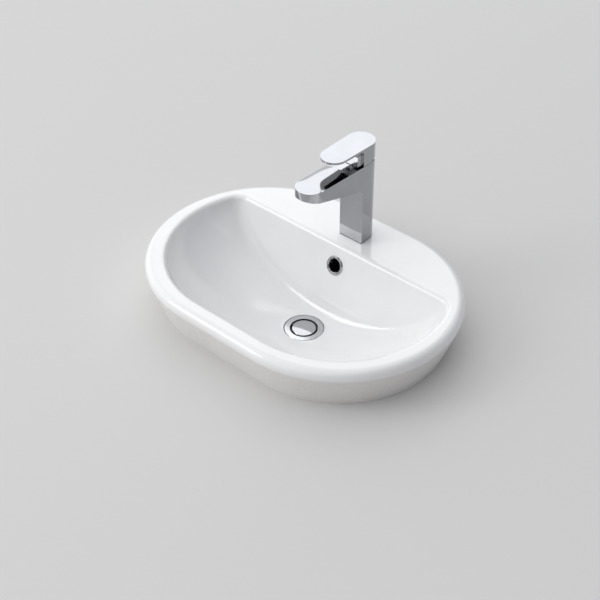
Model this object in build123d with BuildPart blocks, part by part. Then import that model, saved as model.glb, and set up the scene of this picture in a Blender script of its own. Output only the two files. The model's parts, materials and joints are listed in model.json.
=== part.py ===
"""Inset basin with a single lever mixer, a push plug waste and an overflow trim.

Millimetres. The origin is on the bench top, under the middle of the basin's outline. +Z is up,
+Y points to the tap side and +X to the right of a person who stands at the front.
"""
import os
from math import cos, radians, sin, sqrt, tan

from build123d import *

os.makedirs("parts", exist_ok=True)

# basin outline and skirt
rim_height = 71.0
outline_straight = 140.0
outline_radius = 180.0
rim_rounding = 12.0
skirt_draft = 20.0
skirt_wall = 11.0
deck_thickness = 14.0

# bowl
rim_width = 20.0
side_rim_extra = 8.0
bowl_centre_y = 8.0
bowl_depth = 111.0
bowl_fullness = 1.33
bowl_wall = 10.0
deck_width = 96.5
back_lean = 18.7
crease_radius = 24.0
lip_rounding = 8.0
bowl_turns = (0, 12, 24, 36, 48, 60, 70, 80)

# waste and its seat
waste_y = 4.0
waste_depth = 109.0
flange_radius = 30.0
flange_edge = 3.0
tail_radius = 20.955
tail_bore = 17.5
tail_length = 85.0
waste_hole_radius = 23.2
seat_gap = 0.8
top_seal_thickness = 2.0
boss_radius = 37.0
boss_height = 32.0
boss_draft = 8.0
under_gasket_thickness = 4.0
slip_washer_thickness = 1.5
backnut_height = 10.0
backnut_across_flats = 50.0
thread_clearance = 0.05

# overflow
overflow_depth = 31.0
overflow_hole_radius = 12.2
overflow_trim_radius = 15.0
overflow_bore = 10.5
channel_width = 24.0
channel_depth = 12.0
channel_wall = 7.0
channel_bend = 26.0
channel_fall = 12.0
channel_head = 14.0
channel_outlet = 12.0

# overflow trim
trim_lip = 2.2
trim_neck_wall = 1.2
trim_neck_length = 9.0
trim_slit = 3.0

# waste body, plug and click mechanism, levels below the flange top
throat_radius = 21.35
throat_wall = 1.2
throat_depth = 3.5
seat_depth = 8.0
throat_foot = 9.5
window_width = 12.0
window_height = 12.0
window_depth = 20.0
thread_break_depth = 50.0
thread_break = 2.0
hub_radius = 9.0
hub_depth = 28.0
hub_height = 19.3
spoke_width = 3.0
spoke_height = 4.0
click_radius = 6.0
click_collar = 3.0
click_bore = 4.9
click_foot_depth = 58.0
click_wall = 1.6
stem_radius = 3.25
stem_foot_radius = 4.7
stem_foot_thickness = 2.0
stem_foot_gap = 0.4
running_gap = 0.05
plug_travel = 8.0
plug_radius = 17.85
plug_crown = 1.0
plug_edge = 2.2
plug_body_radius = 15.5
plug_body_depth = 4.6
plug_hub_radius = 8.0
plug_hub_depth = 6.6
plug_thread_radius = 3.0
plug_thread_depth = 5.0
plug_clamp_radius = 11.0
plug_clamp_thickness = 1.8
seal_gap = 0.3
spring_wire = 0.5
spring_radius = 3.9
spring_turns = 6

# tap hole and tap column
tap_hole_radius = 17.5
tap_width = 42.7
tap_setback = 55.1
column_front = 17.3
base_gasket_thickness = 1.2
base_gasket_inset = 0.4

# spout: reaches forward of the column's axis, heights above the rim or above the seat
spout_reach = 129.9
spout_top_height = 138.6
tip_thickness = 17.5
tip_thickness_reach = 113.2
spout_under_slope = 15.9
spout_root_rounding = 8.0
shoulder_drop = 0.6
shoulder_slope = 1.8
seat_drop = 3.6
seat_radius = 28.2
tongue_rows = ((112.9, 21.1), (104.9, 17.2), (82.9, 14.8), (60.9, 12.2), (48.9, 7.5))
tongue_sink = 1.5
platform_rise = 2.2
platform_half_width = 13.5
platform_reach = 54.9

# water ways and inlets in the tap body
inlet_thread_radius = 4.5
inlet_thread_length = 12.0
outlet_way_radius = 3.2
outlet_way_drop = 8.7
stud_radius = 4.0
stud_offset_y = 9.0
stud_grip = 14.0
stud_foot_level = 28.0

# mixing cartridge, levels above the floor of its chamber
chamber_radius = 14.1
chamber_depth = 30.0
cartridge_radius = 14.0
cartridge_wall = 1.0
cartridge_foot_gap = 0.3
cartridge_base_top = 5.0
disc_thickness = 3.0
disc_gap = 0.02
fixed_disc_radius = 12.9
moving_disc_radius = 10.8
pocket_land = 0.3
pocket_depth = 1.6
port_radius = 2.2
port_ring = 8.3
port_turn = 52.0
port_seal_radius = 3.0
port_seal_section = 0.7
carrier_top = 14.5
ball_radius = 3.0
ball_level = 14.2
ball_neck_radius = 2.4
ball_gap = 0.2
swivel_foot = 15.0
swivel_flange_radius = 12.7
swivel_neck_radius = 8.8
swivel_top = 28.5
housing_top = 24.0
housing_lid = 2.0
lid_gap = 0.3
pivot_level = 21.0
pivot_radius = 1.5
pivot_length = 17.0
pivot_gap = 0.03
stem_side = 7.0
stem_slot_gap = 0.15
stem_slot_length = 12.4
stem_foot_level = 17.0
stem_top = 46.0
nut_radius = 16.5
nut_length = 5.3
nut_bore_gap = 2.4
nut_notches = 6
nut_notch_radius = 1.3

# lever, heights above the seat
lever_gap = 0.5
lever_reach = 64.9
lever_tip_rise = 27.3
lever_rear_rise = 30.0
lever_plate = 3.6
lever_inner_rounding = 5.0
lever_tilt = 16.0
lever_cut_margin = 0.5
lever_cut_lead = 1.0
lever_hub_reach = 23.9
lever_hub_half_width = 18.0
lever_hub_height = 19.3
lever_hub_rounding = 5.0
socket_gap = 0.05
pocket_radius = 16.5
pocket_height = 22.0
pocket_boss_radius = 7.5
screw_rise = 12.0
screw_radius = 2.5
screw_length = 8.0
index_radius = 3.4
index_depth = 3.0

# aerator
aerator_reach = 108.9
aerator_radius = 11.0
aerator_wall = 1.8
aerator_length = 8.0
aerator_recess = 0.6
aerator_lip = 1.0
aerator_hole_radius = 0.9
aerator_mesh_thickness = 1.6
aerator_seal_thickness = 1.2

# tap fixing under the deck
horseshoe_radius = 24.0
horseshoe_notch = 27.0
horseshoe_notch_y = 2.5
horseshoe_gasket_thickness = 3.0
horseshoe_plate_thickness = 2.0
fixing_nut_height = 6.5
fixing_nut_flats = 13.0

sharp_radius = outline_radius + rim_rounding * (1 / tan(radians((90 - skirt_draft) / 2)) - 1)
base_radius = sharp_radius - rim_height * tan(radians(skirt_draft))
flange_top = rim_height - waste_depth
seat_floor = flange_top - flange_edge - top_seal_thickness
boss_bottom = flange_top - boss_height
bowl_straight = outline_straight - 2 * side_rim_extra
bowl_radius = outline_radius - rim_width
bowl_back_y = outline_radius - deck_width
tap_half_width = tap_width / 2
column_axis_y = outline_radius - tap_setback
column_front_y = column_axis_y - column_front
column_rear_y = column_axis_y + tap_half_width
tap_y = (column_front_y + column_rear_y) / 2
spout_tip_y = column_axis_y - spout_reach
shoulder_height = spout_top_height - shoulder_drop
shoulder_start_y = column_axis_y - tongue_rows[0][0]
seat_height = spout_top_height - seat_drop
aerator_y = column_axis_y - aerator_reach
lever_tip_y = column_axis_y - lever_reach
hub_front_y = column_axis_y - lever_hub_reach
hub_foot_height = seat_height + platform_rise + lever_gap
hub_top_height = hub_foot_height + lever_hub_height
screw_height = seat_height + screw_rise


def axis_plane(y, level):
    """A plane across the front of a vertical axis: its x is the radius, its y the height."""
    return Plane((0, y, level), x_dir=(1, 0, 0), z_dir=(0, -1, 0))


def finish(part, name):
    """Labels a finished piece and writes its file."""
    part.label = name
    export_step(part, f"parts/{name}.step")


def ring(y, level, inner, outer, height):
    """A flat ring that stands up from a level."""
    with BuildPart() as band:
        with BuildSketch(Plane((0, y, level))):
            Circle(outer)
            Circle(inner, mode=Mode.SUBTRACT)
        extrude(amount=height)
    return band.part


def hexagon_nut(y, level, across_flats, bore, height):
    """A nut with a bevel on both ends."""
    corner = across_flats / sqrt(3)
    bevel = (corner - across_flats / 2) / 2
    with BuildPart() as nut:
        with BuildSketch(Plane((0, y, level))):
            RegularPolygon(across_flats / 2, 6, major_radius=False)
        extrude(amount=height)
        with BuildSketch(axis_plane(y, level)):
            with BuildLine():
                Polyline((0, 0), (corner - 2 * bevel, 0), (corner, bevel),
                         (corner, height - bevel), (corner - 2 * bevel, height), (0, height),
                         close=True)
            make_face()
        revolve(axis=Axis((0, y, 0), (0, 0, 1)), mode=Mode.INTERSECT)
        with BuildSketch(Plane((0, y, level))):
            Circle(bore)
        extrude(amount=height, mode=Mode.SUBTRACT)
    return nut.part


def bowl_form(grow, top_drop):
    """The bowl as a solid, grown outwards by a wall. Each level is the rim outline, drawn in
    towards the waste as the cosine of a turn, while the depth grows as a power of its sine."""
    with BuildPart() as form:
        for turn in bowl_turns:
            share = cos(radians(turn))
            fall = (bowl_depth + grow) * sin(radians(turn)) ** bowl_fullness
            level = rim_height - max(fall, top_drop)
            middle = waste_y + (bowl_centre_y - waste_y) * share
            with BuildSketch(Plane((0, middle, level))):
                SlotCenterToCenter(bowl_straight * share, 2 * (bowl_radius + grow) * share)
        loft()
        lean = radians(back_lean)
        back_foot = (0, bowl_back_y + grow / cos(lean), rim_height)
        split(bisect_by=Plane(back_foot, x_dir=(1, 0, 0), z_dir=(0, cos(lean), -sin(lean))),
              keep=Keep.BOTTOM)
        back_face = form.faces().filter_by(GeomType.PLANE).sort_by(Axis.Y)[-1]
        crease = back_face.edges().sort_by(Axis.Z)[:-1]
        fillet(crease, crease_radius)
    return form.part


def wall_y(level):
    """How far back the leaning wall of the bowl is at a level."""
    return bowl_back_y - (rim_height - level) * tan(radians(back_lean))


def overflow_run(width, depth, rounding, end_y):
    """A bar of rounded section behind the leaning wall, down and then forward to the waste."""
    lean = radians(back_lean)
    fall = tan(radians(channel_fall))
    offset = (channel_wall + channel_depth / 2) / cos(lean)
    top = rim_height - overflow_depth + channel_head + (depth - channel_depth) / 2
    outlet = seat_floor - channel_outlet
    corner_y = wall_y(outlet - end_y * fall) + offset
    corner_y = corner_y / (1 - fall * tan(lean))
    corner = outlet + (corner_y - end_y) * fall
    with BuildPart() as run:
        with BuildLine(Plane.YZ):
            FilletPolyline((wall_y(top) + offset, top), (corner_y, corner), (end_y, outlet),
                           radius=channel_bend)
        with BuildSketch(Plane((0, wall_y(top) + offset, top), x_dir=(1, 0, 0),
                               z_dir=(0, -sin(lean), -cos(lean)))):
            RectangleRounded(width, depth, rounding)
        sweep()
    return run.part


bowl_void = bowl_form(0, 0)
bowl_shell = bowl_form(bowl_wall, deck_thickness / 2)
channel = overflow_run(channel_width, channel_depth, channel_depth / 3,
                       waste_y + waste_hole_radius / 2)
channel_ridge = overflow_run(channel_width + 2 * channel_wall, channel_depth + 2 * channel_wall,
                             channel_wall, waste_y + waste_hole_radius)
overflow_y = wall_y(rim_height - overflow_depth)
overflow_plane = Plane((0, overflow_y, rim_height - overflow_depth), x_dir=(1, 0, 0),
                       z_dir=(0, -cos(radians(back_lean)), sin(radians(back_lean))))

with BuildPart() as basin:
    with BuildSketch():
        SlotCenterToCenter(outline_straight, 2 * base_radius)
    extrude(amount=rim_height, taper=-skirt_draft)
    fillet(basin.faces().sort_by(Axis.Z)[-1].edges(), rim_rounding)
    with BuildSketch():
        SlotCenterToCenter(outline_straight, 2 * (base_radius - skirt_wall))
    extrude(amount=rim_height - deck_thickness, taper=-skirt_draft, mode=Mode.SUBTRACT)
    add(bowl_shell)
    add(channel_ridge)
    with BuildSketch(Plane((0, waste_y, boss_bottom))):
        Circle(boss_radius)
    extrude(amount=boss_height - flange_edge, taper=-boss_draft)
    add(bowl_void, mode=Mode.SUBTRACT)
    fillet(basin.faces().sort_by(Axis.Z)[-1].inner_wires()[0].edges(), lip_rounding)
    with BuildSketch(Plane((0, waste_y, boss_bottom))):
        Circle(waste_hole_radius)
    extrude(amount=boss_height + seat_gap, mode=Mode.SUBTRACT)
    with BuildSketch(Plane((0, waste_y, seat_floor))):
        Circle(flange_radius + seat_gap)
    extrude(amount=boss_height, mode=Mode.SUBTRACT)
    add(channel, mode=Mode.SUBTRACT)
    with BuildSketch(overflow_plane):
        Circle(overflow_hole_radius)
    extrude(amount=-(channel_wall + channel_depth / 2), mode=Mode.SUBTRACT)
    with BuildSketch(Plane((0, tap_y, rim_height - deck_thickness))):
        Circle(tap_hole_radius)
    extrude(amount=deck_thickness, mode=Mode.SUBTRACT)
finish(basin.part, "basin")

# overflow trim
trim_plane = Plane(overflow_plane.origin, x_dir=(1, 0, 0),
                   z_dir=(0, -sin(radians(back_lean)), -cos(radians(back_lean))))
trim_neck_radius = overflow_bore + trim_neck_wall
with BuildPart() as overflow_trim:
    with BuildSketch(trim_plane):
        with BuildLine():
            Polyline((overflow_bore, -trim_neck_length), (overflow_bore, trim_lip / 2),
                     (trim_neck_radius, trim_lip), (overflow_trim_radius - trim_lip / 2, trim_lip),
                     (overflow_trim_radius, trim_lip / 4), (overflow_trim_radius, 0),
                     (trim_neck_radius, 0), (trim_neck_radius, -trim_neck_length), close=True)
        make_face()
    revolve(axis=Axis(overflow_plane.origin, overflow_plane.z_dir))
    with BuildSketch(overflow_plane.offset(-trim_neck_length)):
        Rectangle(2 * overflow_trim_radius, trim_slit)
        Rectangle(trim_slit, 2 * overflow_trim_radius)
    extrude(amount=trim_neck_length - trim_lip, mode=Mode.SUBTRACT)
finish(overflow_trim.part, "overflow_trim")

# waste body: flange, cup with a coned seat, slotted tail and a three spoke hub
throat_outer = throat_radius + throat_wall
with BuildPart() as waste_body:
    with BuildSketch(axis_plane(waste_y, flange_top)):
        with BuildLine():
            Polyline((throat_radius, 0), (flange_radius - flange_edge / 3, 0),
                     (flange_radius, -flange_edge / 3), (flange_radius, -flange_edge),
                     (throat_outer, -flange_edge), (throat_outer, -throat_foot),
                     (tail_radius, -throat_foot), (tail_radius, -tail_length),
                     (tail_bore, -tail_length), (tail_bore, -seat_depth),
                     (throat_radius, -throat_depth), close=True)
        make_face()
    revolve(axis=Axis((0, waste_y, 0), (0, 0, 1)))
    add(ring(waste_y, flange_top - thread_break_depth - thread_break, tail_radius - 0.7,
             tail_radius + 1, thread_break), mode=Mode.SUBTRACT)
    with BuildSketch(Plane((0, waste_y, flange_top - window_depth - window_height / 2))):
        with PolarLocations(tail_radius, 4, start_angle=45):
            Rectangle(tail_radius, window_width)
    extrude(amount=window_height, mode=Mode.SUBTRACT)
    with BuildSketch(Plane((0, waste_y, flange_top - hub_depth - spoke_height))):
        with PolarLocations((tail_bore + throat_wall) / 2, 3, start_angle=90):
            Rectangle(tail_bore + throat_wall, spoke_width)
    extrude(amount=spoke_height)
    with BuildSketch(Plane((0, waste_y, flange_top - hub_depth - hub_height))):
        Circle(hub_radius)
    extrude(amount=hub_height)
    with BuildSketch(Plane((0, waste_y, flange_top - hub_depth - hub_height))):
        Circle(click_radius + thread_clearance)
    extrude(amount=hub_height, mode=Mode.SUBTRACT)
finish(waste_body.part, "waste_body")

waste_top_seal = ring(waste_y, seat_floor, throat_outer + 0.2, flange_radius - 0.5,
                      top_seal_thickness)
finish(waste_top_seal, "waste_top_seal")

gasket_foot = boss_bottom - under_gasket_thickness
with BuildPart() as waste_under_gasket:
    with BuildSketch(axis_plane(waste_y, gasket_foot)):
        with BuildLine():
            Polyline((tail_radius + thread_clearance, 0), (boss_radius - 6, 0),
                     (boss_radius - 3, under_gasket_thickness / 2),
                     (boss_radius - 3, under_gasket_thickness),
                     (tail_radius + thread_clearance, under_gasket_thickness), close=True)
        make_face()
    revolve(axis=Axis((0, waste_y, 0), (0, 0, 1)))
finish(waste_under_gasket.part, "waste_under_gasket")

slip_foot = gasket_foot - slip_washer_thickness
finish(ring(waste_y, slip_foot, tail_radius + thread_clearance, boss_radius - 6,
            slip_washer_thickness), "waste_slip_washer")
finish(hexagon_nut(waste_y, slip_foot - backnut_height, backnut_across_flats,
                   tail_radius + thread_clearance, backnut_height), "waste_backnut")

# click mechanism: housing screwed into the hub, spring, stem and plug
collar_top = -hub_depth + click_collar
guide_foot = -hub_depth - click_collar
with BuildPart() as click_housing:
    with BuildSketch(axis_plane(waste_y, flange_top)):
        with BuildLine():
            Polyline((stem_radius + running_gap, collar_top), (hub_radius - 0.5, collar_top),
                     (hub_radius - 0.5, -hub_depth), (click_radius, -hub_depth),
                     (click_radius, -click_foot_depth), (0, -click_foot_depth),
                     (0, -click_foot_depth + click_wall),
                     (click_bore, -click_foot_depth + click_wall), (click_bore, guide_foot),
                     (stem_radius + running_gap, guide_foot), close=True)
        make_face()
    revolve(axis=Axis((0, waste_y, 0), (0, 0, 1)))
finish(click_housing.part, "click_housing")

spring_foot = -click_foot_depth + click_wall
stem_catch = guide_foot - plug_travel - stem_foot_gap
stem_foot = stem_catch - stem_foot_thickness
spring_length = stem_foot - spring_foot - 2 * spring_wire
with BuildPart() as click_spring:
    with BuildLine(Plane((0, waste_y, flange_top + spring_foot + spring_wire))):
        coil = Helix(spring_length / spring_turns, spring_length, spring_radius)
    with BuildSketch(Plane(coil @ 0, z_dir=coil % 0)):
        Circle(spring_wire)
    sweep(is_frenet=True)
finish(click_spring.part, "click_spring")

thread_top = -plug_hub_depth + plug_thread_depth
clamp_foot = -plug_hub_depth - plug_clamp_thickness
with BuildPart() as plug_stem:
    with BuildSketch(axis_plane(waste_y, flange_top)):
        with BuildLine():
            Polyline((0, thread_top - 0.5), (plug_thread_radius, thread_top - 0.5),
                     (plug_thread_radius, -plug_hub_depth), (plug_clamp_radius, -plug_hub_depth),
                     (plug_clamp_radius, clamp_foot + 0.6), (plug_clamp_radius - 0.6, clamp_foot),
                     (stem_radius, clamp_foot), (stem_radius, stem_catch),
                     (stem_foot_radius, stem_catch), (stem_foot_radius, stem_foot),
                     (0, stem_foot), close=True)
        make_face()
    revolve(axis=Axis((0, waste_y, 0), (0, 0, 1)))
finish(plug_stem.part, "plug_stem")

with BuildPart() as plug_cap:
    with BuildSketch(axis_plane(waste_y, flange_top)):
        with BuildLine():
            Line((0, thread_top), (0, plug_crown))
            ThreePointArc((0, plug_crown), (plug_radius / 2, plug_crown * 3 / 4),
                          (plug_radius - 0.4, 0))
            Polyline((plug_radius - 0.4, 0), (plug_radius, -0.4), (plug_radius, -plug_edge),
                     (plug_body_radius, -plug_edge), (plug_body_radius, -plug_body_depth),
                     (plug_hub_radius, -plug_body_depth), (plug_hub_radius, -plug_hub_depth),
                     (plug_thread_radius + thread_clearance, -plug_hub_depth),
                     (plug_thread_radius + thread_clearance, thread_top), (0, thread_top))
        make_face()
    revolve(axis=Axis((0, waste_y, 0), (0, 0, 1)))
finish(plug_cap.part, "plug_cap")


def seat_radius_at(depth):
    """Radius of the coned seat of the throat at a depth below the flange."""
    share = (depth - throat_depth) / (seat_depth - throat_depth)
    return throat_radius + (tail_bore - throat_radius) * share


cone_gap = seal_gap * sqrt(1 + ((throat_radius - tail_bore) / (seat_depth - throat_depth)) ** 2)
with BuildPart() as plug_seal:
    with BuildSketch(axis_plane(waste_y, flange_top)):
        with BuildLine():
            Polyline((plug_hub_radius + running_gap, -plug_hub_depth),
                     (seat_radius_at(plug_hub_depth) - cone_gap, -plug_hub_depth),
                     (seat_radius_at(plug_body_depth) - cone_gap, -plug_body_depth),
                     (plug_hub_radius + running_gap, -plug_body_depth), close=True)
        make_face()
    revolve(axis=Axis((0, waste_y, 0), (0, 0, 1)))
finish(plug_seal.part, "plug_seal")


def column_outline(inset):
    """Flat front, straight sides and a round rear, drawn in by an inset."""
    half = tap_half_width - inset
    front = column_front_y + inset
    with BuildSketch() as outline:
        with BuildLine():
            Polyline((-half, column_axis_y), (-half, front), (half, front), (half, column_axis_y))
            ThreePointArc((half, column_axis_y), (0, column_axis_y + half),
                          (-half, column_axis_y))
        make_face()
    return outline.sketch


# tap body
body_foot = rim_height + base_gasket_thickness
chamber_floor = rim_height + seat_height - chamber_depth
spout_round_y = spout_tip_y + tap_half_width
with BuildPart() as tap_base_gasket:
    with BuildSketch(Plane.XY.offset(rim_height)):
        add(column_outline(base_gasket_inset))
        with Locations((0, tap_y)):
            Circle(tap_hole_radius + running_gap, mode=Mode.SUBTRACT)
    extrude(amount=base_gasket_thickness)
finish(tap_base_gasket.part, "tap_base_gasket")


def under_height(y):
    """Height of the spout's underside above the rim."""
    fall = (y - column_axis_y + tip_thickness_reach) * tan(radians(spout_under_slope))
    return spout_top_height - tip_thickness - fall


def shoulder(y):
    """Height of the spout's shoulder line above the rim."""
    return shoulder_height - (y - shoulder_start_y) * tan(radians(shoulder_slope))


seat_start_y = shoulder_start_y + (shoulder_height - seat_height) / tan(radians(shoulder_slope))
under_plane = Plane((0, aerator_y, rim_height + under_height(aerator_y)), x_dir=(1, 0, 0),
                    z_dir=(0, -sin(radians(spout_under_slope)), -cos(radians(spout_under_slope))))
aerator_bore_depth = aerator_recess + aerator_length + aerator_seal_thickness
way_start = under_plane.origin - under_plane.z_dir * (aerator_bore_depth - outlet_way_radius)
way_end = Vector(0, column_axis_y, chamber_floor - outlet_way_drop)
inlet_points = [(side * port_ring * sin(radians(port_turn)),
                 column_axis_y - port_ring * cos(radians(port_turn))) for side in (-1, 1)]
port_points = inlet_points + [(0, column_axis_y)]
stud_y = tap_y + stud_offset_y
with BuildPart() as tap_body:
    with BuildSketch(Plane.YZ.offset(-tap_half_width)):
        with BuildLine():
            FilletPolyline((column_front_y, body_foot),
                           (column_front_y, rim_height + under_height(column_front_y)),
                           (spout_tip_y, rim_height + under_height(spout_tip_y)),
                           radius=spout_root_rounding)
            Polyline((spout_tip_y, rim_height + under_height(spout_tip_y)),
                     (spout_tip_y, rim_height + spout_top_height),
                     (shoulder_start_y, rim_height + spout_top_height),
                     (shoulder_start_y, rim_height + shoulder(shoulder_start_y)),
                     (seat_start_y, rim_height + seat_height),
                     (column_rear_y, rim_height + seat_height), (column_rear_y, body_foot),
                     (column_front_y, body_foot))
        make_face()
    extrude(amount=tap_width)
    for reach, half_top in tongue_rows:
        edge = shoulder(column_axis_y - reach)
        with BuildSketch(axis_plane(column_axis_y - reach, rim_height)):
            with BuildLine():
                Polyline((-half_top, spout_top_height), (half_top, spout_top_height),
                         (tap_half_width, edge), (tap_half_width, edge - tongue_sink),
                         (-tap_half_width, edge - tongue_sink), (-tap_half_width, edge),
                         close=True)
            make_face()
    loft()
    with BuildSketch(Plane.XY.offset(rim_height + seat_height - tongue_sink)):
        with Locations((0, column_axis_y - (platform_reach + column_front) / 2)):
            Rectangle(2 * platform_half_width, platform_reach - column_front)
    extrude(amount=platform_rise + tongue_sink)
    with BuildSketch(Plane((0, column_axis_y, rim_height + seat_height))):
        Circle(seat_radius)
    extrude(amount=spout_top_height, mode=Mode.SUBTRACT)
    with BuildSketch(Plane((0, (spout_round_y + column_axis_y) / 2, rim_height),
                           x_dir=(0, 1, 0), z_dir=(0, 0, 1))):
        SlotCenterToCenter(column_axis_y - spout_round_y, tap_width)
    extrude(amount=spout_top_height + 1, mode=Mode.INTERSECT)
    with BuildSketch(Plane((0, column_axis_y, chamber_floor))):
        Circle(chamber_radius)
    extrude(amount=chamber_depth, mode=Mode.SUBTRACT)
    with BuildSketch(Plane((0, column_axis_y, chamber_floor + housing_top))):
        Circle(nut_radius + thread_clearance)
    extrude(amount=chamber_depth - housing_top, mode=Mode.SUBTRACT)
    with BuildSketch(under_plane):
        Circle(aerator_radius + thread_clearance)
    extrude(amount=-aerator_bore_depth, mode=Mode.SUBTRACT)
    with BuildSketch(Plane(way_start, z_dir=way_end - way_start)):
        Circle(outlet_way_radius)
    extrude(amount=(way_end - way_start).length, mode=Mode.SUBTRACT)
    with BuildSketch(Plane(way_end)):
        Circle(port_radius)
    extrude(amount=outlet_way_drop, mode=Mode.SUBTRACT)
    with BuildSketch(Plane.XY.offset(body_foot)):
        with Locations(*inlet_points):
            Circle(inlet_thread_radius)
    extrude(amount=inlet_thread_length, mode=Mode.SUBTRACT)
    with BuildSketch(Plane.XY.offset(body_foot)):
        with Locations(*inlet_points):
            Circle(port_radius)
    extrude(amount=chamber_floor - body_foot, mode=Mode.SUBTRACT)
    with BuildSketch(Plane((0, stud_y, body_foot))):
        Circle(stud_radius + thread_clearance)
    extrude(amount=stud_grip, mode=Mode.SUBTRACT)
finish(tap_body.part, "tap_body")

# fixing under the deck
with BuildPart() as fixing_stud:
    with BuildSketch(Plane((0, stud_y, stud_foot_level))):
        Circle(stud_radius)
    extrude(amount=body_foot + stud_grip - 0.5 - stud_foot_level)
    chamfer(fixing_stud.faces().sort_by(Axis.Z)[0].edges(), stud_radius / 6)
finish(fixing_stud.part, "fixing_stud")


def horseshoe(level, thickness):
    """A washer open at the front for the inlets, with a hole for the stud."""
    with BuildPart() as plate:
        with BuildSketch(Plane((0, tap_y, level))):
            Circle(horseshoe_radius)
            with Locations((0, horseshoe_notch_y - horseshoe_radius)):
                Rectangle(horseshoe_notch, 2 * horseshoe_radius, mode=Mode.SUBTRACT)
            with Locations((0, stud_offset_y)):
                Circle(stud_radius + thread_clearance, mode=Mode.SUBTRACT)
        extrude(amount=thickness)
    return plate.part


deck_underside = rim_height - deck_thickness
horseshoe_plate_foot = deck_underside - horseshoe_gasket_thickness - horseshoe_plate_thickness
finish(horseshoe(deck_underside - horseshoe_gasket_thickness, horseshoe_gasket_thickness),
       "horseshoe_gasket")
finish(horseshoe(horseshoe_plate_foot, horseshoe_plate_thickness), "horseshoe_plate")
finish(hexagon_nut(stud_y, horseshoe_plate_foot - fixing_nut_height, fixing_nut_flats,
                   stud_radius + thread_clearance, fixing_nut_height), "fixing_nut")

# mixing cartridge
with BuildPart() as cartridge_base:
    with BuildSketch(Plane((0, column_axis_y, chamber_floor + cartridge_foot_gap))):
        Circle(cartridge_radius)
    extrude(amount=cartridge_base_top - cartridge_foot_gap)
    with BuildSketch(Plane.XY.offset(chamber_floor)):
        with Locations(*port_points):
            Circle(port_radius)
    extrude(amount=cartridge_base_top, mode=Mode.SUBTRACT)
    with BuildSketch(Plane.XY.offset(chamber_floor)):
        with Locations(*port_points):
            Circle(port_seal_radius + port_seal_section + running_gap)
    extrude(amount=2 * port_seal_section, mode=Mode.SUBTRACT)
finish(cartridge_base.part, "cartridge_base")

with BuildPart() as port_seals:
    with Locations(*[(x, y, chamber_floor + port_seal_section) for x, y in port_points]):
        Torus(port_seal_radius, port_seal_section)
finish(port_seals.part, "port_seals")

with BuildPart() as fixed_disc:
    with BuildSketch(Plane((0, column_axis_y, chamber_floor + cartridge_base_top))):
        Circle(fixed_disc_radius)
    extrude(amount=disc_thickness)
    with BuildSketch(Plane.XY.offset(chamber_floor + cartridge_base_top)):
        with Locations(*port_points):
            Circle(port_radius)
    extrude(amount=disc_thickness, mode=Mode.SUBTRACT)
finish(fixed_disc.part, "fixed_disc")

moving_disc_foot = chamber_floor + cartridge_base_top + disc_thickness + disc_gap
with BuildPart() as moving_disc:
    with BuildSketch(Plane((0, column_axis_y, moving_disc_foot))):
        Circle(moving_disc_radius)
    extrude(amount=disc_thickness)
    with BuildSketch(Plane((0, column_axis_y, moving_disc_foot))):
        Circle(port_ring - port_radius - pocket_land)
    extrude(amount=pocket_depth, mode=Mode.SUBTRACT)
finish(moving_disc.part, "moving_disc")

with BuildPart() as disc_carrier:
    with BuildSketch(Plane((0, column_axis_y, moving_disc_foot + disc_thickness))):
        Circle(moving_disc_radius)
        Circle(ball_radius + ball_gap, mode=Mode.SUBTRACT)
    extrude(amount=chamber_floor + carrier_top - moving_disc_foot - disc_thickness)
finish(disc_carrier.part, "disc_carrier")

housing_bore = cartridge_radius - cartridge_wall
lid_foot = housing_top - housing_lid
with BuildPart() as cartridge_housing:
    with BuildSketch(axis_plane(column_axis_y, chamber_floor)):
        with BuildLine():
            Polyline((housing_bore, cartridge_base_top), (cartridge_radius, cartridge_base_top),
                     (cartridge_radius, housing_top), (swivel_neck_radius + lid_gap, housing_top),
                     (swivel_neck_radius + lid_gap, lid_foot), (housing_bore, lid_foot),
                     close=True)
        make_face()
    revolve(axis=Axis((0, column_axis_y, 0), (0, 0, 1)))
finish(cartridge_housing.part, "cartridge_housing")

with BuildPart() as swivel_carrier:
    with BuildSketch(axis_plane(column_axis_y, chamber_floor)):
        with BuildLine():
            Polyline((0, swivel_foot), (swivel_flange_radius, swivel_foot),
                     (swivel_flange_radius, lid_foot - lid_gap),
                     (swivel_neck_radius, lid_foot - lid_gap), (swivel_neck_radius, swivel_top),
                     (0, swivel_top), close=True)
        make_face()
    revolve(axis=Axis((0, column_axis_y, 0), (0, 0, 1)))
    with BuildSketch(Plane((0, column_axis_y, chamber_floor + swivel_foot))):
        Rectangle(stem_side + 2 * stem_slot_gap, stem_slot_length)
    extrude(amount=swivel_top - swivel_foot, mode=Mode.SUBTRACT)
    with BuildSketch(Plane.YZ.offset(-pivot_length / 2)):
        with Locations((column_axis_y, chamber_floor + pivot_level)):
            Circle(pivot_radius)
    extrude(amount=pivot_length, mode=Mode.SUBTRACT)
finish(swivel_carrier.part, "swivel_carrier")

with BuildPart() as pivot_pin:
    with BuildSketch(Plane.YZ.offset(-pivot_length / 2)):
        with Locations((column_axis_y, chamber_floor + pivot_level)):
            Circle(pivot_radius)
    extrude(amount=pivot_length)
finish(pivot_pin.part, "pivot_pin")

with BuildPart() as lever_spindle:
    with Locations((0, column_axis_y, chamber_floor + ball_level)):
        Sphere(ball_radius)
    with BuildSketch(Plane((0, column_axis_y, chamber_floor + ball_level))):
        Circle(ball_neck_radius)
    extrude(amount=stem_foot_level - ball_level)
    with BuildSketch(Plane((0, column_axis_y, chamber_floor + stem_foot_level))):
        Rectangle(stem_side, stem_side)
    extrude(amount=stem_top - stem_foot_level)
    with BuildSketch(Plane.YZ.offset(-stem_side)):
        with Locations((column_axis_y, chamber_floor + pivot_level)):
            Circle(pivot_radius + pivot_gap)
    extrude(amount=2 * stem_side, mode=Mode.SUBTRACT)
finish(lever_spindle.part, "lever_spindle")

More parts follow.
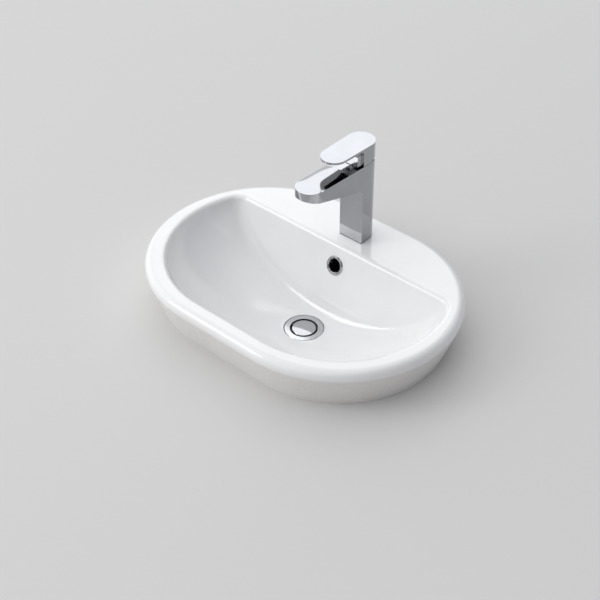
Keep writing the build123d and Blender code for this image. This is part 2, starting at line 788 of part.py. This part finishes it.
nut_bore = swivel_neck_radius + nut_bore_gap
with BuildPart() as retaining_nut:
    add(ring(column_axis_y, chamber_floor + housing_top, nut_bore, nut_radius, nut_length))
    with BuildSketch(Plane((0, column_axis_y, chamber_floor + housing_top + nut_length / 2))):
        with PolarLocations(nut_bore, nut_notches):
            Circle(nut_notch_radius)
    extrude(amount=nut_length, mode=Mode.SUBTRACT)
finish(retaining_nut.part, "retaining_nut")


# lever
def lever_top(y):
    """Height of the lever's top face above the rim."""
    share = (y - lever_tip_y) / (column_rear_y - lever_tip_y)
    return seat_height + lever_tip_rise + (lever_rear_rise - lever_tip_rise) * share


lever_foot = seat_height + lever_gap
cut_start_y = column_axis_y - lever_cut_lead
cut_rise = (column_rear_y - cut_start_y) * tan(radians(lever_tilt + lever_cut_margin))
lever_round_y = lever_tip_y + tap_half_width
socket_half = stem_side / 2 + socket_gap
with BuildPart() as lever_handle:
    with BuildSketch(Plane.YZ.offset(-tap_half_width)):
        with BuildLine():
            FilletPolyline((lever_tip_y, rim_height + lever_top(lever_tip_y) - lever_plate),
                           (column_front_y, rim_height + lever_top(column_front_y) - lever_plate),
                           (column_front_y, rim_height + lever_foot),
                           radius=lever_inner_rounding)
            Polyline((column_front_y, rim_height + lever_foot),
                     (cut_start_y, rim_height + lever_foot),
                     (column_rear_y, rim_height + lever_foot + cut_rise),
                     (column_rear_y, rim_height + lever_top(column_rear_y)),
                     (lever_tip_y, rim_height + lever_top(lever_tip_y)),
                     (lever_tip_y, rim_height + lever_top(lever_tip_y) - lever_plate))
        make_face()
    extrude(amount=tap_width)
    with BuildSketch(Plane((0, (lever_round_y + column_axis_y) / 2, rim_height),
                           x_dir=(0, 1, 0), z_dir=(0, 0, 1))):
        SlotCenterToCenter(column_axis_y - lever_round_y, tap_width)
    extrude(amount=lever_top(column_rear_y) + 1, mode=Mode.INTERSECT)
    with BuildSketch(Plane.XZ.offset(-column_front_y - lever_inner_rounding)):
        with BuildLine():
            FilletPolyline((-lever_hub_half_width, rim_height + hub_foot_height),
                           (-lever_hub_half_width, rim_height + hub_top_height),
                           (lever_hub_half_width, rim_height + hub_top_height),
                           (lever_hub_half_width, rim_height + hub_foot_height),
                           radius=lever_hub_rounding)
            Line((lever_hub_half_width, rim_height + hub_foot_height),
                 (-lever_hub_half_width, rim_height + hub_foot_height))
        make_face()
    extrude(amount=column_front_y + lever_inner_rounding - hub_front_y)
    with BuildSketch(Plane((0, column_axis_y, rim_height + lever_foot))):
        Circle(pocket_radius)
        Circle(pocket_boss_radius, mode=Mode.SUBTRACT)
        with Locations((0, -pocket_radius / 2)):
            Rectangle(pocket_boss_radius, pocket_radius, mode=Mode.SUBTRACT)
    extrude(amount=pocket_height, mode=Mode.SUBTRACT)
    with BuildSketch(Plane((0, column_axis_y, rim_height + lever_foot))):
        Rectangle(2 * socket_half, 2 * socket_half)
    extrude(amount=chamber_floor + stem_top + socket_gap - rim_height - lever_foot,
            mode=Mode.SUBTRACT)
    with BuildSketch(Plane.XZ.offset(-hub_front_y)):
        with Locations((0, rim_height + screw_height)):
            Circle(screw_radius + thread_clearance)
    extrude(amount=-(column_axis_y - hub_front_y), mode=Mode.SUBTRACT)
    with BuildSketch(Plane.XZ.offset(-hub_front_y)):
        with Locations((0, rim_height + screw_height)):
            Circle(index_radius + thread_clearance)
    extrude(amount=-index_depth, mode=Mode.SUBTRACT)
finish(lever_handle.part, "lever_handle")

with BuildPart() as lever_screw:
    with BuildSketch(Plane.XZ.offset(stem_side / 2 - column_axis_y)):
        with Locations((0, rim_height + screw_height)):
            Circle(screw_radius)
    extrude(amount=screw_length)
    with BuildSketch(Plane.XZ.offset(stem_side / 2 - column_axis_y + screw_length)):
        with Locations((0, rim_height + screw_height)):
            RegularPolygon(screw_radius / 2, 6, major_radius=False)
    extrude(amount=-screw_length / 3, mode=Mode.SUBTRACT)
finish(lever_screw.part, "lever_screw")

with BuildPart() as index_plug:
    with BuildSketch(Plane.XZ.offset(-hub_front_y)):
        with Locations((0, rim_height + screw_height)):
            Circle(index_radius)
    extrude(amount=-index_depth)
finish(index_plug.part, "index_plug")

# aerator
aerator_bore = aerator_radius - aerator_wall
with BuildPart() as aerator_housing:
    with BuildSketch(under_plane.offset(-aerator_recess)):
        Circle(aerator_radius)
        Circle(aerator_bore - aerator_lip, mode=Mode.SUBTRACT)
    extrude(amount=-aerator_length)
    with BuildSketch(under_plane.offset(-aerator_recess - aerator_lip)):
        Circle(aerator_bore)
    extrude(amount=aerator_lip - aerator_length, mode=Mode.SUBTRACT)
    with BuildSketch(under_plane.offset(-aerator_recess)):
        with PolarLocations(aerator_radius - aerator_wall / 2, 4):
            Circle(aerator_wall / 3)
    extrude(amount=-aerator_lip, mode=Mode.SUBTRACT)
finish(aerator_housing.part, "aerator_housing")

with BuildPart() as aerator_mesh:
    with BuildSketch(under_plane.offset(-aerator_recess - aerator_lip)):
        Circle(aerator_bore - running_gap)
        Circle(aerator_hole_radius, mode=Mode.SUBTRACT)
        for circle_share, holes in ((0.4, 6), (0.78, 12)):
            with PolarLocations(circle_share * aerator_bore, holes):
                Circle(aerator_hole_radius, mode=Mode.SUBTRACT)
    extrude(amount=-aerator_mesh_thickness)
finish(aerator_mesh.part, "aerator_mesh")

with BuildPart() as aerator_seal:
    with BuildSketch(under_plane.offset(-aerator_recess - aerator_length)):
        Circle(aerator_radius)
        Circle(aerator_bore, mode=Mode.SUBTRACT)
    extrude(amount=-aerator_seal_thickness)
finish(aerator_seal.part, "aerator_seal")
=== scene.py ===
import json
from math import cos, pi, radians, sin

import bpy
import numpy as np
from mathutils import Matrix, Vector


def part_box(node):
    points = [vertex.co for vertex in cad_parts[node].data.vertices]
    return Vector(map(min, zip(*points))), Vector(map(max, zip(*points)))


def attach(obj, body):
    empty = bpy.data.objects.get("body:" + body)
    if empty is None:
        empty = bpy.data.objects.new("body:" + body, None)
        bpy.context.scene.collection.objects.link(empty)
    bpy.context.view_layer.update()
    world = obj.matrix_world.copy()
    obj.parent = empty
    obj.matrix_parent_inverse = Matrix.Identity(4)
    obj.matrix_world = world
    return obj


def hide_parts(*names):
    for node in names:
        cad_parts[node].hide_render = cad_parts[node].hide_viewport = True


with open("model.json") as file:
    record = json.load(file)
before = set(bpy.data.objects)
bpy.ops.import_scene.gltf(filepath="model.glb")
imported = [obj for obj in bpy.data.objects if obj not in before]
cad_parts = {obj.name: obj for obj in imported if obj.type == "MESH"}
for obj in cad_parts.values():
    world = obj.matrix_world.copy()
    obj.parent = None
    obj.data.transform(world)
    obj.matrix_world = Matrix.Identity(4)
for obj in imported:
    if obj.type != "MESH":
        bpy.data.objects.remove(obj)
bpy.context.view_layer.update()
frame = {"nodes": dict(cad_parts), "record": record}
nodes = frame["nodes"]
print("frame loaded:", len(nodes), "nodes")


# Camera and studio

view = {
    "eye": (1.0583, -1.1842, 1.2731),
    "aim": (0.0429, -0.0526, 0.071),
    "lens": 82.55,
    "sensor": 36,
    "farthest": 20,
}


def turnTo(aim, item):
    # the turn that points an object's -Z at a place
    return (Vector(aim) - item.location).to_track_quat("-Z", "Y").to_euler()


def setCamera():
    data = bpy.data.cameras.new("studioCamera")
    data.lens = view["lens"]
    data.sensor_width = view["sensor"]
    data.clip_end = view["farthest"]
    camera = bpy.data.objects.new("studioCamera", data)
    camera.location = view["eye"]
    camera.rotation_euler = turnTo(view["aim"], camera)
    bpy.context.scene.collection.objects.link(camera)
    bpy.context.scene.camera = camera


studio = {
    "floorSize": 9.0,
    "cutOutStraight": 0.140,
    "cutOutRadius": 0.150,
    "cutOutPoints": 96,
    "floorColor": (0.665, 0.66, 0.65, 1),
    "floorRoughness": 0.9,
    "floorSpecular": 0.1,
    "brightSide": (0.97, 0.98, 1.0, 1),
    "darkSide": (0.22, 0.22, 0.24, 1),
    "brightFrom": (-0.68, -0.20, 0.70),
    "brightStart": 0.0,
    "brightFull": 0.6,
    "skyStrength": 1.12,
}
# name, place, aim, size in metres, watts, colour
lamps = [
    ("keyLeft", (-1.7, -1.9, 1.6), (0, 0, 0.05), (1.2, 1.2), 16, (1.0, 0.99, 0.97)),
    ("backLeft", (-1.25, 1.45, 1.55), (0, 0.08, 0.2), (1.5, 1.3), 5.5, (0.95, 0.975, 1.0)),
]


def addLamp(name, place, aim, size, watts, color):
    data = bpy.data.lights.new(name, "AREA")
    data.shape = "RECTANGLE"
    data.size, data.size_y = size
    data.energy = watts
    data.color = color
    lamp = bpy.data.objects.new(name, data)
    lamp.location = place
    lamp.rotation_euler = turnTo(aim, lamp)
    bpy.context.scene.collection.objects.link(lamp)


def setWorld():
    world = bpy.data.worlds.new("studioWorld")
    world.use_nodes = True
    tree = world.node_tree
    sky = tree.nodes["Background"]
    # one side of the room is a white wall of light, and the other one is dark
    place = tree.nodes.new("ShaderNodeTexCoord")
    side = tree.nodes.new("ShaderNodeVectorMath")
    side.operation = "DOT_PRODUCT"
    side.inputs[1].default_value = studio["brightFrom"]
    ramp = tree.nodes.new("ShaderNodeValToRGB")
    ramp.color_ramp.interpolation = "EASE"
    ramp.color_ramp.elements[0].position = studio["brightStart"]
    ramp.color_ramp.elements[0].color = studio["darkSide"]
    ramp.color_ramp.elements[1].position = studio["brightFull"]
    ramp.color_ramp.elements[1].color = studio["brightSide"]
    tree.links.new(place.outputs["Generated"], side.inputs[0])
    tree.links.new(side.outputs["Value"], ramp.inputs[0])
    tree.links.new(ramp.outputs[0], sky.inputs["Color"])
    sky.inputs["Strength"].default_value = studio["skyStrength"]
    bpy.context.scene.world = world
    bpy.context.scene.view_settings.view_transform = "Standard"


def slotLoop(halfStraight, radius, count):
    # points round the cut-out: two half circles joined by straight runs, as an angle goes round
    turn = np.linspace(0, 2 * np.pi, count, endpoint=False)
    x = np.sign(np.cos(turn)) * halfStraight + radius * np.cos(turn)
    return np.stack([x, radius * np.sin(turn)], 1)


def layFloor():
    # a bench top with the cut-out that the bowl hangs through, under the skirt
    count = studio["cutOutPoints"]
    hole = slotLoop(studio["cutOutStraight"] / 2, studio["cutOutRadius"], count)
    turn = np.linspace(0, 2 * np.pi, count, endpoint=False)
    edge = studio["floorSize"] / 2 * np.stack([np.cos(turn), np.sin(turn)], 1)
    rings = np.concatenate([hole, edge])
    points = np.column_stack([rings, np.zeros(2 * count)])
    k = np.arange(count)
    faces = np.stack([k, count + k, count + (k + 1) % count, (k + 1) % count], 1)
    mesh = bpy.data.meshes.new("studioFloor")
    mesh.from_pydata(points.tolist(), [], faces.tolist())
    floor = bpy.data.objects.new("studioFloor", mesh)
    bpy.context.scene.collection.objects.link(floor)
    paint = bpy.data.materials.new("floorPaint")
    paint.use_nodes = True
    shader = paint.node_tree.nodes["Principled BSDF"]
    shader.inputs["Base Color"].default_value = studio["floorColor"]
    shader.inputs["Roughness"].default_value = studio["floorRoughness"]
    shader.inputs["Specular IOR Level"].default_value = studio["floorSpecular"]
    mesh.materials.append(paint)


# Finishes. Each is one Principled shader whose colour, roughness and bump come from noise on
# Object coordinates, in metres.

def newFinish(name, metallic=0.0, **sockets):
    paint = bpy.data.materials.new(name)
    paint.use_nodes = True
    shader = paint.node_tree.nodes["Principled BSDF"]
    shader.inputs["Metallic"].default_value = metallic
    shader.inputs["IOR"].default_value = 1.5
    for socket, value in sockets.items():
        shader.inputs[socket.replace("_", " ")].default_value = value
    return paint, paint.node_tree, shader


def grain(tree, scale, detail=4.0, stretch=(1, 1, 1)):
    # noise that is fixed to the piece
    place = tree.nodes.new("ShaderNodeTexCoord")
    mapping = tree.nodes.new("ShaderNodeMapping")
    mapping.inputs["Scale"].default_value = stretch
    noise = tree.nodes.new("ShaderNodeTexNoise")
    noise.inputs["Scale"].default_value = scale
    noise.inputs["Detail"].default_value = detail
    tree.links.new(place.outputs["Object"], mapping.inputs[0])
    tree.links.new(mapping.outputs[0], noise.inputs["Vector"])
    return noise.outputs["Fac"]


def between(tree, fac, low, high, start=0.3, end=0.7):
    # a number that runs from low to high as fac goes from start to end
    span = tree.nodes.new("ShaderNodeMapRange")
    span.inputs["From Min"].default_value = start
    span.inputs["From Max"].default_value = end
    span.inputs["To Min"].default_value = low
    span.inputs["To Max"].default_value = high
    tree.links.new(fac, span.inputs["Value"])
    return span.outputs[0]


def twoTone(tree, fac, tones):
    # two tones of one colour, in soft patches of noise
    ramp = tree.nodes.new("ShaderNodeValToRGB")
    for stop, place, tone in zip(ramp.color_ramp.elements, (0.35, 0.65), tones):
        stop.position = place
        stop.color = (*tone, 1)
    tree.links.new(fac, ramp.inputs[0])
    return ramp.outputs[0]


def addBump(tree, shader, height, strength, distance):
    bump = tree.nodes.new("ShaderNodeBump")
    bump.inputs["Strength"].default_value = strength
    bump.inputs["Distance"].default_value = distance
    tree.links.new(height, bump.inputs["Height"])
    tree.links.new(bump.outputs[0], shader.inputs["Normal"])


def blend(tree, kind, fac, first, second):
    mix = tree.nodes.new("ShaderNodeMix")
    mix.data_type = kind
    tree.links.new(fac, mix.inputs["Factor"])
    tree.links.new(first, mix.inputs["A"])
    tree.links.new(second, mix.inputs["B"])
    return mix.outputs["Result"]


# Overflow. Both the glaze and the trim know where its hole is, and how its wall leans. What
# lies inside is painted nearly black: painted shade for the dark hollow of the channel.

overflow = {
    "backLean": 18.7,
    "zoneRadius": 0.0215,
    "zoneEdge": 0.002,
    "zoneBehind": 0.0225,
    "boreFrom": -0.0028,
    "boreFull": -0.0022,
    # painted shade: the tones, grain and roughness of the nearly black colour inside the hole
    "paintedShadeTones": ((0.004, 0.004, 0.004), (0.012, 0.012, 0.012)),
    "paintedShadeGrain": 300,
    "paintedShadeRoughness": (0.8, 0.95),
    "paintedShadeRoughGrain": 400,
}
lean = radians(overflow["backLean"])
inward = Vector((0, cos(lean), -sin(lean)))
overflowMiddle = sum((Vector(corner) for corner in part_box("overflow_trim")), Vector()) / 2


# painted shade: a nearly black colour and matt roughness for what lies inside the overflow
def paintedShade(tree):
    color = twoTone(tree, grain(tree, overflow["paintedShadeGrain"]), overflow["paintedShadeTones"])
    rough = between(tree, grain(tree, overflow["paintedShadeRoughGrain"]), *overflow["paintedShadeRoughness"])
    return color, rough


glaze = {
    "tones": ((0.855, 0.855, 0.85), (0.875, 0.877, 0.875)),
    "toneGrain": 14,
    "roughness": (0.08, 0.14),
    "roughGrain": 60,
    "waveGrain": 45,
    "coat": 0.5,
    "specular": 0.5,
    "bareSpecular": 0.05,
    # the Z of a normal at which the biscuit begins, and at which it is all biscuit
    "biscuitFrom": -0.2,
    "biscuitFull": -0.5,
    "biscuitTones": ((0.70, 0.67, 0.62), (0.78, 0.75, 0.70)),
    "biscuitGrain": 220,
    "biscuitRoughness": (0.6, 0.8),
    "biscuitRoughGrain": 400,
}


def makeGlaze():
    # white glaze, painted shade making the overflow channel behind its hole nearly black, and bare
    # biscuit on what faces down
    paint, tree, shader = newFinish("whiteGlaze", Coat_Roughness=0.03)
    place = tree.nodes.new("ShaderNodeTexCoord")
    away = tree.nodes.new("ShaderNodeVectorMath")
    away.operation = "DISTANCE"
    away.inputs[1].default_value = overflowMiddle + overflow["zoneBehind"] * inward
    tree.links.new(place.outputs["Object"], away.inputs[0])
    # painted shade: within this distance of the channel's middle the glaze turns nearly black
    dark = between(tree, away.outputs["Value"], 1, 0, overflow["zoneRadius"] - overflow["zoneEdge"],
                   overflow["zoneRadius"])
    facing = tree.nodes.new("ShaderNodeSeparateXYZ")
    tree.links.new(place.outputs["Normal"], facing.inputs[0])
    bare = between(tree, facing.outputs["Z"], 1, 0, glaze["biscuitFull"], glaze["biscuitFrom"])
    white = twoTone(tree, grain(tree, glaze["toneGrain"]), glaze["tones"])
    biscuit = twoTone(tree, grain(tree, glaze["biscuitGrain"]), glaze["biscuitTones"])
    paintedShadeColor, paintedShadeRough = paintedShade(tree)
    tree.links.new(blend(tree, "RGBA", dark, blend(tree, "RGBA", bare, white, biscuit), paintedShadeColor),
                   shader.inputs["Base Color"])
    shine = between(tree, grain(tree, glaze["roughGrain"]), *glaze["roughness"])
    matt = between(tree, grain(tree, glaze["biscuitRoughGrain"]), *glaze["biscuitRoughness"])
    tree.links.new(blend(tree, "FLOAT", dark, blend(tree, "FLOAT", bare, shine, matt), paintedShadeRough),
                   shader.inputs["Roughness"])
    unglazed = tree.nodes.new("ShaderNodeMath")
    unglazed.operation = "MAXIMUM"
    tree.links.new(bare, unglazed.inputs[0])
    tree.links.new(dark, unglazed.inputs[1])
    tree.links.new(between(tree, unglazed.outputs[0], glaze["coat"], 0, 0, 1),
                   shader.inputs["Coat Weight"])
    specular = between(tree, unglazed.outputs[0], glaze["specular"], glaze["bareSpecular"], 0, 1)
    tree.links.new(specular, shader.inputs["Specular IOR Level"])
    addBump(tree, shader, grain(tree, glaze["waveGrain"], 2), 0.05, 0.001)
    return paint


chrome = {
    "tones": ((0.425, 0.43, 0.445), (0.445, 0.45, 0.465)),
    "toneGrain": 30,
    "roughness": (0.05, 0.09),
    "roughGrain": 220,
    "polishGrain": 400,
}


def makeChrome():
    paint, tree, shader = newFinish("polishedChrome", metallic=1.0)
    tree.links.new(twoTone(tree, grain(tree, chrome["toneGrain"]), chrome["tones"]),
                   shader.inputs["Base Color"])
    tree.links.new(between(tree, grain(tree, chrome["roughGrain"]), *chrome["roughness"]),
                   shader.inputs["Roughness"])
    addBump(tree, shader, grain(tree, chrome["polishGrain"], 2), 0.02, 0.0002)
    return paint


def makeTrimChrome():
    # the overflow's trim: chrome on its face, and painted shade, nearly black, down its bore
    paint, tree, shader = newFinish("overflowChrome")
    place = tree.nodes.new("ShaderNodeTexCoord")
    offset = tree.nodes.new("ShaderNodeVectorMath")
    offset.operation = "SUBTRACT"
    offset.inputs[1].default_value = overflowMiddle
    depth = tree.nodes.new("ShaderNodeVectorMath")
    depth.operation = "DOT_PRODUCT"
    depth.inputs[1].default_value = inward
    tree.links.new(place.outputs["Object"], offset.inputs[0])
    tree.links.new(offset.outputs[0], depth.inputs[0])
    # painted shade: past this depth the bore turns nearly black and matt
    inside = between(tree, depth.outputs["Value"], 0, 1, overflow["boreFrom"], overflow["boreFull"])
    bright = twoTone(tree, grain(tree, chrome["toneGrain"]), chrome["tones"])
    polish = between(tree, grain(tree, chrome["roughGrain"]), *chrome["roughness"])
    paintedShadeColor, paintedShadeRough = paintedShade(tree)
    tree.links.new(blend(tree, "RGBA", inside, bright, paintedShadeColor), shader.inputs["Base Color"])
    tree.links.new(blend(tree, "FLOAT", inside, polish, paintedShadeRough), shader.inputs["Roughness"])
    tree.links.new(between(tree, inside, 1, 0, 0, 1), shader.inputs["Metallic"])
    tree.links.new(between(tree, inside, 0.5, 0.03, 0, 1), shader.inputs["Specular IOR Level"])
    return paint


rubber = {
    "tones": ((0.02, 0.02, 0.021), (0.035, 0.035, 0.036)),
    "toneGrain": 500,
    "roughness": (0.55, 0.75),
    "roughGrain": 900,
    "bumpGrain": 1800,
    "bump": 0.15,
}
plastic = {
    "toneGrain": 300,
    "roughness": (0.35, 0.5),
    "roughGrain": 700,
    "bumpGrain": 1500,
    "bump": 0.1,
}


def makeMoulded(name, kind, tones):
    paint, tree, shader = newFinish(name)
    tree.links.new(twoTone(tree, grain(tree, kind["toneGrain"]), tones),
                   shader.inputs["Base Color"])
    tree.links.new(between(tree, grain(tree, kind["roughGrain"]), *kind["roughness"]),
                   shader.inputs["Roughness"])
    addBump(tree, shader, grain(tree, kind["bumpGrain"]), kind["bump"], 0.0002)
    return paint


turned = {"grain": 120, "detail": 6, "roughSpread": 0.15, "bump": 0.15}


def makeTurned(name, tones, rough, squeeze):
    # turned or brushed metal: the noise is squeezed along Z, so that it reads as fine rings
    paint, tree, shader = newFinish(name, metallic=1.0)
    rings = grain(tree, turned["grain"], turned["detail"], (1, 1, squeeze))
    tree.links.new(twoTone(tree, rings, tones), shader.inputs["Base Color"])
    tree.links.new(between(tree, rings, rough, rough + turned["roughSpread"]),
                   shader.inputs["Roughness"])
    addBump(tree, shader, rings, turned["bump"], 0.0002)
    return paint


thread = {"toneGrain": 90, "roughGrain": 300, "roughSpread": 0.08, "bump": 0.6}


def makeThread(name, tones, rough, pitch, top):
    # plated metal with a thread: rings of that pitch below a level
    paint, tree, shader = newFinish(name, metallic=1.0)
    tree.links.new(twoTone(tree, grain(tree, thread["toneGrain"]), tones),
                   shader.inputs["Base Color"])
    tree.links.new(between(tree, grain(tree, thread["roughGrain"]), rough,
                           rough + thread["roughSpread"]), shader.inputs["Roughness"])
    place = tree.nodes.new("ShaderNodeTexCoord")
    waves = tree.nodes.new("ShaderNodeTexWave")
    waves.bands_direction = "Z"
    waves.wave_profile = "TRI"
    # a wave has a period of 2 pi / 20 of its scaled length
    waves.inputs["Scale"].default_value = 2 * pi / 20 / pitch
    tree.links.new(place.outputs["Object"], waves.inputs["Vector"])
    split = tree.nodes.new("ShaderNodeSeparateXYZ")
    tree.links.new(place.outputs["Object"], split.inputs[0])
    height = tree.nodes.new("ShaderNodeMath")
    height.operation = "MULTIPLY"
    tree.links.new(between(tree, split.outputs["Z"], 1, 0, top - pitch, top), height.inputs[0])
    tree.links.new(waves.outputs["Fac"], height.inputs[1])
    addBump(tree, shader, height.outputs[0], thread["bump"], pitch)
    return paint


finishes = {
    "glaze": makeGlaze(),
    "chrome": makeChrome(),
    "brass": makeTurned("turnedBrass", ((0.60, 0.43, 0.18), (0.72, 0.54, 0.26)), 0.22, 12),
    "rubber": makeMoulded("blackRubber", rubber, rubber["tones"]),
    "white_plastic": makeMoulded("whitePlastic", plastic, ((0.74, 0.74, 0.73), (0.80, 0.80, 0.79))),
    "black_plastic": makeMoulded("blackPlastic", plastic,
                                 ((0.02, 0.02, 0.022), (0.035, 0.035, 0.037))),
    "grey_plastic": makeMoulded("greyPlastic", plastic, ((0.32, 0.33, 0.34), (0.38, 0.39, 0.40))),
    "steel": makeTurned("platedSteel", ((0.48, 0.49, 0.50), (0.60, 0.61, 0.62)), 0.28, 8),
    "disc_ceramic": makeMoulded("lappedCeramic", plastic,
                                ((0.78, 0.77, 0.74), (0.84, 0.83, 0.80))),
}

# what has more than one finish: the trim's bore, and the threads of the waste's tail (G 1 1/4)
# and of the stud (M8)
special = {
    "overflow_trim": makeTrimChrome(),
    "waste_body": makeThread("threadedChrome", ((0.50, 0.51, 0.52), (0.54, 0.55, 0.56)), 0.10,
                             0.0023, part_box("waste_under_gasket")[0][2]),
    "fixing_stud": makeThread("threadedSteel", ((0.50, 0.51, 0.52), (0.60, 0.61, 0.62)), 0.25,
                              0.00125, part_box("tap_body")[0][2]),
}
for subpart in frame["record"]["subparts"]:
    node = nodes[subpart["node"]]
    node.data.materials.clear()
    node.data.materials.append(special.get(subpart["node"], finishes[subpart["material_slot"]]))
print("finishes on:", len(finishes) + len(special))


# Lever. The solid's plate is drawn out to the reach, level and narrower tip that the
# photograph shows; its body, hub, pocket and holes stay as they are.

lever = {
    "tipReach": 0.0129,
    "tipHalfWidth": 0.0200,
    # how far the body's front lies before the column's axis
    "bodyFront": 0.0173,
    # what counts as the tip's edge, and how thick the plate is at both ends of its run
    "tipSlice": 0.0005,
    "plateAtTip": 0.006,
    "plateAtBody": 0.009,
    "sharpAngle": 25,
}


def drawLever():
    solid = nodes["lever_handle"].data
    low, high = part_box("lever_handle")
    half = high[0]
    axis = high[1] - half
    corners = np.empty(3 * len(solid.vertices), dtype=np.float32)
    solid.vertices.foreach_get("co", corners)
    corners = corners.reshape(-1, 3).astype(float)
    # one vertex for each place, so that the new mesh is closed
    first, same = np.unique(np.round(corners, 7), axis=0, return_index=True,
                            return_inverse=True)[1:]
    points = corners[first]
    same = same.reshape(-1)
    loops = np.empty(len(solid.loops), dtype=np.int32)
    solid.loops.foreach_get("vertex_index", loops)
    faces = same[loops].reshape(-1, 3)
    faces = faces[(faces != np.roll(faces, 1, axis=1)).all(axis=1)]
    bodyFront = axis - lever["bodyFront"]
    roundCentre = low[1] + half
    y = points[:, 1].copy()
    # the straight run grows, and the round end moves forward whole
    points[:, 1] = np.interp(y, [low[1], roundCentre, bodyFront, high[1]],
                             [low[1] - lever["tipReach"], roundCentre - lever["tipReach"],
                              bodyFront, high[1]])
    points[:, 0] *= np.interp(y, [roundCentre, bodyFront], [lever["tipHalfWidth"] / half, 1])
    # the top was lower at the tip than at the rear by this much; now it is level
    topTip = corners[corners[:, 1] < low[1] + lever["tipSlice"], 2].max()
    rise = np.interp(y, [low[1], high[1]], [high[2] - topTip, 0])
    plateFoot = topTip - np.interp(y, [low[1], bodyFront],
                                   [lever["plateAtTip"], lever["plateAtBody"]])
    points[:, 2] += np.where((points[:, 2] > plateFoot) | (y < roundCentre), rise, 0)
    mesh = bpy.data.meshes.new("leverPlate")
    mesh.from_pydata(points.tolist(), [], faces.tolist())
    mesh.shade_smooth()
    mesh.set_sharp_from_angle(angle=radians(lever["sharpAngle"]))
    mesh.materials.append(finishes["chrome"])
    piece = bpy.data.objects.new("leverPlate", mesh)
    bpy.context.scene.collection.objects.link(piece)
    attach(piece, "handle")
    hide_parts("lever_handle")
    return len(points), len(faces)


print("lever drawn:", *drawLever())

setCamera()
setWorld()
for lamp in lamps:
    addLamp(*lamp)
layFloor()
print("studio set")
